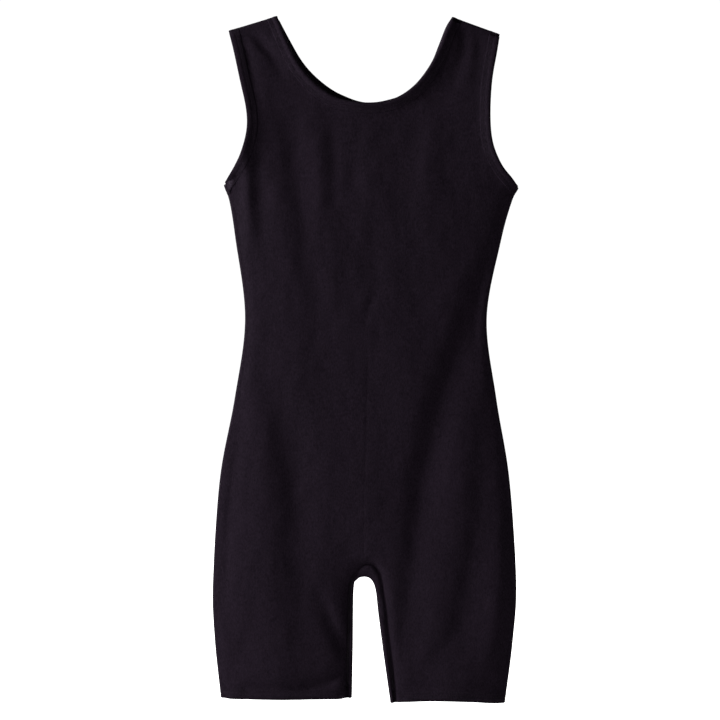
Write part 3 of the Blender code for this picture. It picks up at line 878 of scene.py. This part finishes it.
# %% [markdown]
# ## The front and the back
# The body is two cut pieces, so it is made as two. Each is one smooth sheet with a thickness, drawn on its
# outer face. The mesh has extra rows of points beside the pressed rise seam, since a groove only as wide as a
# needle would fall between the points of an even mesh.

# %% Cut and shape the body cloth
def make_body(name, side, node):
    spots, faces, _ = sheet_of(side, GRID)
    piece = new_piece(name, spots.at(CLOTH), faces, knit_cloth)
    face_outwards(piece, side)
    solidify(piece, CLOTH)
    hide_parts(node)
    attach(piece, "root")
    print(name, "has", len(faces), "faces")
    return piece


def face_outwards(piece, side):
    """Turns the faces of a sheet so that they look out of the garment."""
    fix_normals(piece)
    normals = np.empty(len(piece.data.polygons) * 3)
    piece.data.polygons.foreach_get("normal", normals)
    if normals.reshape(-1, 3)[:, 1].sum() * side < 0:
        piece.data.flip_normals()


front_cloth = make_body("front_body_cloth", FRONT, "front_panel")
back_cloth = make_body("back_body_cloth", BACK, "back_panel")

# %% [markdown]
# ## Bindings
# A strip of the same jersey wraps the edge of each opening, with flat elastic inside. The elastic makes the
# strip puff up between its fold and the row of stitches, which shows as a soft ridge beside a groove. The
# cross-section says all of that, so sweeping it round the opening is enough.

# %% Sweep the bindings
BINDING_PROFILE = [
    (11.4, 0.95), (10.4, 1.4), (9.6, 1.55), (8.9, 1.35), (8.1, 1.6), (6.9, 1.6), (6.1, 1.35), (5.2, 1.8),
    (4.0, 3.0), (2.2, 3.5), (0.4, 3.0), (-0.7, 2.0), (-1.2, 0.6), (-1.2, -1.0), (-0.5, -2.2), (1.2, -2.9),
    (3.2, -2.9), (5.2, -2.3), (8.0, -1.9), (10.2, -1.7), (10.2, -0.1), (6.0, -0.1), (6.0, -0.25),
    (-0.3, -0.25), (-0.3, 1.05),
]
ELASTIC_PROFILE = [(0.4, -0.6), (3.4, -0.5), (6.4, -0.6), (6.4, -1.4), (3.4, -1.5), (0.4, -1.4)]
OPENINGS = {"neck": 1.0, "right_armhole": 0.4, "left_armhole": 0.5}
FLAT_BINDING = 1.4


def puffed(profile, puff):
    """The cross-section with what stands above a flat binding scaled to this share."""
    return [(width, offset if offset < FLAT_BINDING else FLAT_BINDING + (offset - FLAT_BINDING) * puff)
            for width, offset in profile]


for name, puff in OPENINGS.items():
    ring = opening(name)
    binding = sweep(f"{name}_binding_strip", ring, puffed(BINDING_PROFILE, puff), binding_cloth)
    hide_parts(f"{name}_binding")
    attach(binding, "root")
    elastic = sweep(f"{name}_flat_elastic", ring, ELASTIC_PROFILE, covered_elastic)
    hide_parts(f"{name}_elastic")
    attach(elastic, "root")
    print(name, "binding swept through", len(ring), "spots")

# %% [markdown]
# ## Stitches
# A coverstitch is two rows of short straight stitches on the face, with a looping thread across them on the
# inside. Each face stitch is a small tapered bead that dives into the cloth at both ends. The looping thread
# is one long tube that zigzags between the rows.

# %% Helpers for thread
THREAD_CORNERS = 6
STITCH_LENGTH, STITCH_GAP = 2.5, 0.7
STITCH_LIFT = np.array([-0.28, 0.02, 0.08, 0.02, -0.28]) * MM
STITCH_RADII = np.array([0.13, 0.21, 0.23, 0.21, 0.13]) * MM
LOOP_RADIUS, LOOP_PITCH = 0.2, 2.4


def ring_line(spots, offset, width, closed=True):
    line = spots.at(offset, width)
    return np.vstack([line, line[:1]]) if closed else line


def beads(centres, ups, radii):
    """Points and faces of many short tapered tubes. centres is stitches by sections by 3."""
    count, sections = centres.shape[:2]
    along = np.gradient(centres, axis=1)
    along /= np.linalg.norm(along, axis=2, keepdims=True)
    sideways = np.cross(along, ups)
    sideways /= np.linalg.norm(sideways, axis=2, keepdims=True)
    upwards = np.cross(sideways, along)
    turn = np.linspace(0, 2 * math.pi, THREAD_CORNERS, endpoint=False)
    spokes = sideways[:, :, None] * np.cos(turn)[:, None] + upwards[:, :, None] * np.sin(turn)[:, None]
    rings = centres[:, :, None] + radii[None, :, None, None] * spokes
    faces = tube_faces(sections, THREAD_CORNERS, closed=False)
    return joined([(points, faces) for points in rings.reshape(count, -1, 3)])


def stitch_row(spots, width, surface):
    """One row of separate stitches right round a band, this far in from its edge."""
    line, above = (ring_line(spots, offset, width) for offset in (surface, surface + 1))
    own = lengths_along(line)
    count = int(own[-1] / ((STITCH_LENGTH + STITCH_GAP) * MM))
    starts = np.arange(count) * (own[-1] / count)
    steps = np.linspace(0, STITCH_LENGTH * MM, len(STITCH_LIFT))
    wanted = (starts[:, None] + steps[None]).reshape(-1)
    centres = interpolate(line, own, wanted).reshape(count, -1, 3)
    ups = interpolate(above - line, own, wanted).reshape(count, -1, 3)
    ups /= np.linalg.norm(ups, axis=2, keepdims=True)
    return beads(centres + ups * STITCH_LIFT[None, :, None], ups, STITCH_RADII)


def swinging(near, far, own, where, swing):
    """Points that swing between two lines: 0 is on the near one and 1 on the far one."""
    return interpolate(near, own, where) * (1 - swing) + interpolate(far, own, where) * swing


def looping_thread(spots, widths, surface, pitch=LOOP_PITCH, closed=True):
    """One zigzag thread between two widths of a band, on its inner or outer face."""
    near, far = (ring_line(spots, surface, width, closed) for width in widths)
    above = ring_line(spots, surface + math.copysign(1, surface), widths[0], closed)
    own = lengths_along(near)
    count = int(own[-1] / (pitch * MM))
    where = np.linspace(0, own[-1], count * 4 + 1)
    swing = np.abs((np.arange(len(where)) % 4) - 2)[:, None] / 2
    centres = swinging(near, far, own, where, swing)
    ups = interpolate(above - near, own, where)
    ups /= np.linalg.norm(ups, axis=1, keepdims=True)
    return beads(centres[None], ups[None], np.full(len(where), LOOP_RADIUS * MM))


def joined(parts):
    """Several (points, faces) as one."""
    points, faces, start = [], [], 0
    for own, own_faces in parts:
        points.append(own)
        faces += [tuple(i + start for i in face) for face in own_faces]
        start += len(own)
    return np.vstack(points), faces


def thread_piece(name, parts, node):
    piece = new_piece(name, *joined(parts), sewing_thread)
    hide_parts(node)
    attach(piece, "root")
    return piece


def coverstitch(name, ring, rows, face, inside):
    """Both rows of face stitches at their offset, and the looping thread at its own."""
    parts = [stitch_row(ring, width, face) for width in rows]
    parts.append(looping_thread(ring, rows, inside))
    thread_piece(f"{name}_twin_stitches", parts, f"{name}_coverstitch")


# %% Stitch the bindings
for name in OPENINGS:
    coverstitch(name, opening(name), rows=(6.1, 8.9), face=1.35, inside=-2.15)

# %% [markdown]
# ## Hems
# Each leg ends in a hem: the cloth is turned up inside by twelve millimetres and held by the same twin
# stitch. The turned-up part and its rounded fold are one ring, and the stitches pull a groove in the face.

# %% Turn up and stitch the hems
HEM_PROFILE = [
    (0.9, 1.02), (0.2, 1.12), (-0.5, 0.8), (-0.9, 0.1), (-0.6, -0.9), (0.3, -1.3), (6.0, -1.25), (12.2, -1.2),
    (12.2, -0.25), (6.0, -0.2), (0.9, -0.15),
]

for leg in ("right", "left"):
    ring = opening(f"{leg}_hem")
    hem = sweep(f"{leg}_leg_turned_hem", ring, HEM_PROFILE, knit_cloth)
    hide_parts(f"{leg}_leg_hem")
    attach(hem, "root")
    coverstitch(f"{leg}_leg", ring, rows=(6.6, 9.8), face=1.12, inside=-1.35)

# %% [markdown]
# ## Overlocked seams
# Inside, each seam leaves an allowance six millimetres wide with thread wrapped round its edge. It stands in
# the rim between front and back. A strip with a wavy cut edge and a zigzag thread on both faces is enough.

# %% Seam allowances inside
ALLOWANCE, CUT_WAVE, WAVE_STEP = 6.0, 0.25, 2.1
STRIP_START, STRIP_HALF = -0.8, 0.65
STRIP_CORNERS = [(0.0, -1), (0.5, -1.25), (1.0, -0.6), (1.0, 0.6), (0.5, 1.25), (0.0, 1)]
WRAP_FROM, WRAP_LIFT, WRAP_RADIUS, WRAP_PITCH = 0.25, 0.85, 0.22, 2.6


def seam_strip(name, seam, node, trim):
    """A strip along a seam, shortened at both ends by the trim, with a thread wrapped round its edge."""
    line = evenly(PATTERN[FRONT][seam], 3)
    own = lengths_along(line)
    line = line[(own > trim[0]) & (own < own[-1] - trim[1])]
    rim = Spots(FRONT, line, out=-inward(line), angle=math.pi / 2).at(STRIP_START)
    inwards = np.stack([inward(line)[:, 0], np.zeros(len(line)), inward(line)[:, 1]], axis=1)
    reach = (ALLOWANCE + CUT_WAVE * np.sin(np.arange(len(line)) * WAVE_STEP)) * MM
    half = STRIP_HALF * MM
    y = np.array([0, 1, 0])
    rings = np.stack([rim + inwards * (reach * u)[:, None] + y * half * v for u, v in STRIP_CORNERS], axis=1)
    parts = [(rings.reshape(-1, 3), tube_faces(*rings.shape[:2], closed=False))]
    own = lengths_along(rim)
    where = np.linspace(0, own[-1], int(own[-1] / (WRAP_PITCH * MM)) * 2 + 1)
    near, far = (rim + inwards * (reach * share)[:, None] for share in (WRAP_FROM, 1))
    wrap = swinging(near, far, own, where, swing=(np.arange(len(where)) % 2)[:, None])
    for face in (-1, 1):
        centres = wrap + y * face * WRAP_LIFT * MM
        ups = np.tile(y * face, (1, len(where), 1)).astype(float)
        parts.append(beads(centres[None], ups, np.full(len(where), WRAP_RADIUS * MM)))
    fix_normals(thread_piece(name, parts, node))


seam_strip("right_shoulder_overlock", "right_shoulder", "right_shoulder_seam", (11, 11))
seam_strip("left_shoulder_overlock", "left_shoulder", "left_shoulder_seam", (11, 11))
seam_strip("right_side_overlock", "right_side", "right_side_seam", (12, 14))
seam_strip("left_side_overlock", "left_side", "left_side_seam", (14, 12))
seam_strip("inseam_overlock", "crotch", "inseam", (14, 14))

# %% Rise seams inside
RISE_PROFILE = [(-3, -0.5), (-1.5, -0.35), (1.5, -0.35), (3, -0.5), (3, -1.6), (0, -1.9), (-3, -1.6)]


def rise_strip(name, side, node):
    """A flat strip behind a rise seam, with looping thread on its inner face."""
    line = evenly(SEAM_GROOVES[side][:-4], 4)
    spots = Spots(side, line, across=np.tile([1.0, 0.0], (len(line), 1)))
    piece = sweep(name, spots, RISE_PROFILE, sewing_thread, closed=False)
    loops = looping_thread(spots, (-2.8, 2.8), -2.0, WRAP_PITCH, closed=False)
    wrap = new_piece(name + "_loops", *loops, sewing_thread)
    wrap.parent = piece
    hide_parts(node)
    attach(piece, "root")


rise_strip("front_rise_overlock", FRONT, "front_rise_seam")
rise_strip("back_rise_overlock", BACK, "back_rise_seam")

# %% [markdown]
# ## Crotch lining and label
# A cotton shield lies inside the crotch, and a folded satin tape hangs from the left side seam. The tape is
# left blank. Both are small sheets of their own, bent one by one.

# %% The lining
LINING_MIDDLE, LINING_TOP, LINING_TURN, LINING_DIP = -1.0, -545.0, -622.0, 6
LINING_HALF, LINING_FLARE, LINING_OFFSET = 22, 14, -2.6
LINING_ROWS, LINING_COLUMNS, LINING_THICKNESS = 18, 13, 0.6


def make_lining():
    """Down the front, round under the crotch and up the back, widest at its two ends."""
    heights = np.linspace(LINING_TOP, LINING_TURN, LINING_ROWS)
    centre = np.stack([np.full(LINING_ROWS, LINING_MIDDLE), heights], axis=1)
    half = LINING_HALF + LINING_FLARE * np.linspace(1, 0, LINING_ROWS) ** 2
    rows = []
    for side, order in ((FRONT, 1), (BACK, -1)):
        spots = Spots(side, centre[::order], across=np.array([1.0, 0.0]))
        shares = np.linspace(-1, 1, LINING_COLUMNS)
        rows.append(np.stack([spots.at(LINING_OFFSET, half[::order] * share) for share in shares], axis=1))
    middle, reach = (rows[0][-1] + rows[1][0]) / 2, (rows[0][-1] - rows[1][0]) / 2
    dip = np.array([0, 0, -LINING_DIP * MM])
    turn = [middle + reach * math.cos(a) + dip * math.sin(a) for a in np.linspace(0, math.pi, 7)[1:-1]]
    grid = np.vstack([rows[0], np.stack(turn), rows[1]])
    piece = new_piece("crotch_shield", grid.reshape(-1, 3), grid_faces(*grid.shape[:2]), lining_cotton)
    solidify(piece, LINING_THICKNESS)
    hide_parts("crotch_lining")
    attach(piece, "root")
    return piece


crotch_shield = make_lining()

# %% The label
LABEL_POINTS, LABEL_THICKNESS = 16, 0.4
LABEL_BOW, LABEL_RIPPLE = 1.6, 0.8


def make_label():
    """A tape in the place that the plain model gives it, bowed across and rippled downwards."""
    low, high = (np.array(c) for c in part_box("care_label"))
    n = LABEL_POINTS
    u = np.linspace(0, 1, n)
    rows = []
    for v in np.linspace(0, 1, n):
        z = high[2] + (low[2] - high[2]) * v
        x = high[0] + (low[0] - high[0]) * u
        bow = LABEL_BOW * MM * np.sin(math.pi * u) * np.cos(2.4 * v)
        y = bow + LABEL_RIPPLE * MM * np.sin(5 * v + 2 * u)
        rows.append(np.stack([x, y, np.full(n, z)], axis=1))
    grid = np.stack(rows)
    piece = new_piece("blank_label", grid.reshape(-1, 3), grid_faces(n, n), label_satin)
    solidify(piece, LABEL_THICKNESS)
    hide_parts("care_label")
    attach(piece, "root")
    return piece


blank_label = make_label()

# %% [markdown]
# ## The studio
# Black cloth on white needs care: the white must be bright, but light that wraps round from it would wash
# the black out. So the room is white to the camera and dim to the cloth, which the Light Path node can tell
# apart. A soft light from the upper left rakes across the front and draws the folds, and a weak one opens the
# shadows. A second pair does the same for the back.

# %% Floor, lights and world
FRAME_WIDTH = 0.828
CENTRE = Vector((-0.0058, 0, -0.3856))
LENS = 85
SENSOR = 36
FLOOR_GAP = 0.05


def make_floor():
    """A pale floor below the garment, white to the camera even where the lights don't reach."""
    half, z = 14.0, cad_low[2] - FLOOR_GAP
    material = bpy.data.materials.new("pale_floor")
    material.use_nodes = True
    tree = material.node_tree
    shader = tree.nodes["Principled BSDF"]
    shader.inputs["Base Color"].default_value = (0.9, 0.9, 0.9, 1)
    shader.inputs["Roughness"].default_value = 0.9
    shader.inputs["Specular IOR Level"].default_value = 0.1
    shader.inputs["Emission Color"].default_value = (1, 1, 1, 1)
    path = tree.nodes.new("ShaderNodeLightPath")
    tree.links.new(path.outputs["Is Camera Ray"], shader.inputs["Emission Strength"])
    corners = [(-half, -half, z), (half, -half, z), (half, half, z), (-half, half, z)]
    piece = new_piece("pale_floor", corners, [(0, 1, 2, 3)], material)


def area_light(name, place, size, power):
    """A soft rectangular light that faces the middle of the garment."""
    light = bpy.data.lights.new(name, "AREA")
    light.shape = "RECTANGLE"
    light.size, light.size_y = size
    light.energy = power
    lamp = bpy.data.objects.new(name, light)
    lamp.location = place
    lamp.rotation_euler = (CENTRE - Vector(place)).to_track_quat("-Z", "Y").to_euler()
    bpy.context.scene.collection.objects.link(lamp)


def make_world(to_camera, to_cloth):
    world = bpy.data.worlds.new("white_room")
    bpy.context.scene.world = world
    world.use_nodes = True
    tree = world.node_tree
    background = tree.nodes["Background"]
    background.inputs["Color"].default_value = (1, 1, 1, 1)
    path = tree.nodes.new("ShaderNodeLightPath")
    strength = calc(tree, "MULTIPLY_ADD", path.outputs["Is Camera Ray"], to_camera - to_cloth, to_cloth)
    tree.links.new(strength, background.inputs["Strength"])


make_floor()
area_light("key_left", (-2.5, -0.85, 0.7), (0.8, 1.0), 150)
area_light("fill_right", (1.6, -2.4, 0.2), (1.8, 1.8), 5)
area_light("back_key", (-2.4, 1.2, 0.9), (0.8, 1.0), 120)
area_light("back_fill", (1.4, 2.4, 0.2), (1.5, 1.5), 30)
make_world(to_camera=1.05, to_cloth=0.07)

# %% The camera
camera_data = bpy.data.cameras.new("camera")
camera_data.lens = LENS
camera_data.sensor_width = SENSOR
camera = bpy.data.objects.new("camera", camera_data)
camera.location = CENTRE + Vector((0, -FRAME_WIDTH * LENS / SENSOR, 0))
camera.rotation_euler = (math.pi / 2, 0, 0)
bpy.context.scene.collection.objects.link(camera)
bpy.context.scene.camera = camera
bpy.context.scene.view_settings.view_transform = "Standard"
